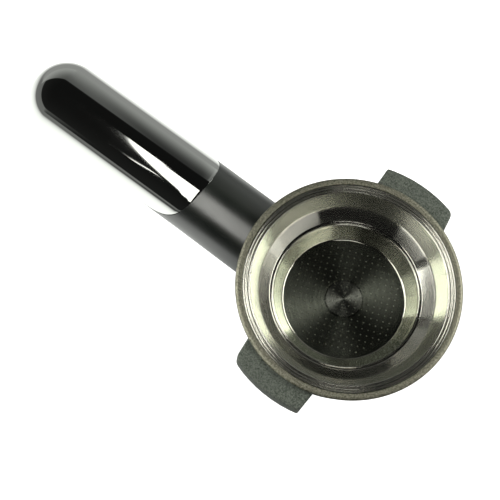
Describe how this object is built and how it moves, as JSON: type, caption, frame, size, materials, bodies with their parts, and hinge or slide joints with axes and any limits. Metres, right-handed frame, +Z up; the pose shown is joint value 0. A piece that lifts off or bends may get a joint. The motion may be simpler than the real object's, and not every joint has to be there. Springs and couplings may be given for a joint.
{
  "type": "portafilter",
  "caption": "Espresso filter holder: round cast bowl with bayonet lugs, stepped perforated basket, double spout, and a short black grip with a chrome cover and rounded end.",
  "frame": {"origin": "centre of the bowl's rim, in the plane of the rim and the basket's flange, where the group's gasket seals", "axes": "+Z up along the bowl's axis, the grip points along -X, the bayonet lugs point towards +Y and -Y"},
  "size_m": [0.1572, 0.0798, 0.041],
  "materials": {
    "cast_metal": "bead-blasted casting",
    "polished_sheet": "polished stainless sheet",
    "plated_spout": "plated",
    "black_plastic": "satin",
    "chrome_cover": "mirror",
    "fastener_steel": "zinc plated",
    "bush_brass": "machined",
    "fibre": "pressed fibre",
    "seal_rubber": "matt"
  },
  "bodies": {
    "holder": {"bowl": "cast_metal", "basket_spring": "fastener_steel", "heat_washer": "fibre", "key_pin": "fastener_steel", "handle_bush": "bush_brass", "handle_body": "black_plastic", "handle_cover": "chrome_cover", "handle_bolt": "fastener_steel", "bolt_washer": "fastener_steel", "lock_washer": "fastener_steel", "cover_screw": "fastener_steel", "spout_gasket": "seal_rubber"},
    "basket": {"filter_cup": "polished_sheet", "outer_cup": "polished_sheet"},
    "double_spout": {"spout": "plated_spout"}
  },
  "joints": [
    {"name": "basket_lift", "type": "slide", "parent": "holder", "child": "basket", "axis": [0, 0, 1], "range_m": [0, 0.03]},
    {"name": "spout_turn", "type": "hinge", "parent": "holder", "child": "double_spout", "pos_m": [0, 0, -0.033], "axis": [0, 0, 1], "range_deg": [-90, 90]}
  ]
}
